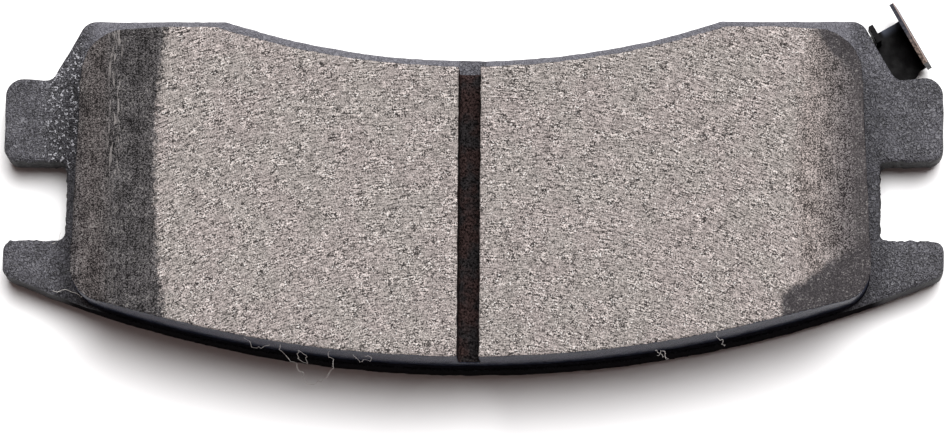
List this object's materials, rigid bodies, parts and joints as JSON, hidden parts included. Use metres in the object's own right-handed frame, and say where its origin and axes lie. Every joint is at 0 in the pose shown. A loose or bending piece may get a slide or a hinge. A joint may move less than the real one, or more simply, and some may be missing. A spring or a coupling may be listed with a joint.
{
  "type": "disc brake pad",
  "caption": "Curved disc brake pad: slotted, chamfered friction block on a notched steel backing plate, with a bent wear indicator at one corner and a thin rear shim.",
  "frame": {"origin": "middle of the pad's back face: centred on the backing plate's outline in X and Y, on the shim's outer face in Z", "axes": "+X along the pad from one ear to the other, +Y towards the concave edge and the rotor's centre, +Z out of the friction face"},
  "size_m": [0.122, 0.0483, 0.0168],
  "materials": {
    "friction": "ground resin-bonded friction compound, mottled grey",
    "underlayer": "coarse resin-bonded underlayer, charcoal",
    "bond": "cured phenolic adhesive film",
    "plate_paint": "matte black powder paint, orange peel",
    "indicator_steel": "black coated spring steel",
    "rivet_steel": "dull zinc plated steel",
    "shim_steel": "cold rolled sheet, cut edges bare",
    "shim_rubber_inner": "matte black coating rubber",
    "shim_rubber": "matte black coating rubber",
    "shim_adhesive": "pressure-sensitive adhesive"
  },
  "bodies": {
    "root": {"friction_block": "friction", "underlayer": "underlayer", "bond_film": "bond", "backing_plate": "plate_paint", "wear_indicator": "indicator_steel", "wear_indicator_rivet": "rivet_steel", "shim_steel_core": "shim_steel", "shim_inner_rubber": "shim_rubber_inner", "shim_outer_rubber": "shim_rubber", "shim_adhesive": "shim_adhesive"}
  },
  "joints": []
}
